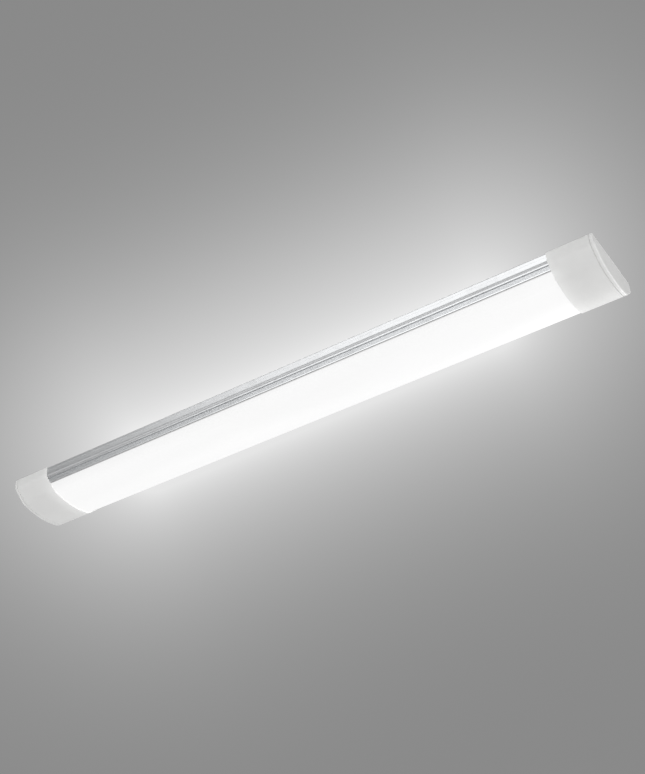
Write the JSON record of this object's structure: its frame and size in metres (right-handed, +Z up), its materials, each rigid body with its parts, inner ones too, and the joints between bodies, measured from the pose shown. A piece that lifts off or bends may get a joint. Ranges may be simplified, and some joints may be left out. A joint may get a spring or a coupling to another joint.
{
  "type": "led ceiling batten",
  "caption": "Slim linear LED luminaire: extruded aluminium tray, arched opal diffuser, moulded end caps with pull-off covers, and spring clips for ceiling mounting.",
  "frame": {"origin": "on the ceiling plane, midway between the two fixing-screw holes of the mounting clips", "axes": "+X along the lamp to the supply end, +Y across it, +Z up into the ceiling; the diffuser faces -Z"},
  "size_m": [0.6, 0.075, 0.025],
  "materials": {
    "profile_aluminium": "anodised, satin, with extrusion lines",
    "opal_diffuser": "opal, lit from behind",
    "cap_white": "fine moulded texture",
    "cover_white": "fine moulded texture",
    "board_white": "white solder mask on a metal core",
    "led_phosphor": "yellow phosphor in a white package",
    "screw_steel": "zinc plated",
    "clip_steel": "spring steel, passivated",
    "circuit_green": "solder mask",
    "tray_clear": "insulating sheet",
    "connector_white": "moulded nylon",
    "component_black": "moulded epoxy",
    "can_sleeve": "shrink sleeve",
    "film_yellow": "dipped case",
    "fuse_ceramic": "glazed ceramic",
    "ferrite": "sintered",
    "copper": "enamelled copper wire",
    "terminal_grey": "moulded nylon",
    "contact_brass": "tinned",
    "bush_rubber": "grey-white rubber",
    "lead_brown": "insulated",
    "lead_blue": "insulated",
    "lead_green": "insulated",
    "lead_red": "insulated",
    "lead_black": "insulated"
  },
  "bodies": {
    "housing": {"aluminium_base": "profile_aluminium", "diffuser": "opal_diffuser", "led_board": "board_white", "led_packages": "led_phosphor", "led_board_screws": "screw_steel", "led_board_connector": "connector_white", "cap_supply": "cap_white", "cap_blank": "cap_white", "shield_supply": "tray_clear", "shield_blank": "tray_clear", "end_cap_screws": "screw_steel", "cable_grommet": "bush_rubber", "blanking_plug": "bush_rubber", "terminal_block": "terminal_grey", "terminal_springs": "contact_brass", "earth_tag": "contact_brass", "earth_screw": "screw_steel", "driver_tray": "tray_clear", "driver_board": "circuit_green", "driver_input_connector": "connector_white", "driver_output_connector": "connector_white", "driver_film_capacitor": "film_yellow", "driver_bridge_rectifier": "component_black", "driver_diode": "component_black", "driver_fuse": "fuse_ceramic", "driver_bulk_capacitors": "can_sleeve", "driver_output_capacitor": "can_sleeve", "driver_choke_core": "ferrite", "driver_choke_winding": "copper", "driver_inductor_core": "ferrite", "driver_inductor_winding": "copper", "driver_controller": "component_black", "lead_live": "lead_brown", "lead_neutral": "lead_blue", "lead_earth": "lead_green", "lead_led_positive": "lead_red", "lead_led_negative": "lead_black"},
    "clip_supply": {"clip_supply": "clip_steel"},
    "clip_blank": {"clip_blank": "clip_steel"},
    "cover_supply": {"cover_supply": "cover_white"},
    "cover_blank": {"cover_blank": "cover_white"}
  },
  "joints": [
    {"name": "clip_supply_slide", "type": "slide", "parent": "housing", "child": "clip_supply", "axis": [1, 0, 0], "range_m": [-0.165, 0.065]},
    {"name": "clip_blank_slide", "type": "slide", "parent": "housing", "child": "clip_blank", "axis": [1, 0, 0], "range_m": [-0.065, 0.165]},
    {"name": "cover_supply_pull", "type": "slide", "parent": "housing", "child": "cover_supply", "axis": [1, 0, 0], "range_m": [0, 0.02]},
    {"name": "cover_blank_pull", "type": "slide", "parent": "housing", "child": "cover_blank", "axis": [-1, 0, 0], "range_m": [0, 0.02]}
  ]
}
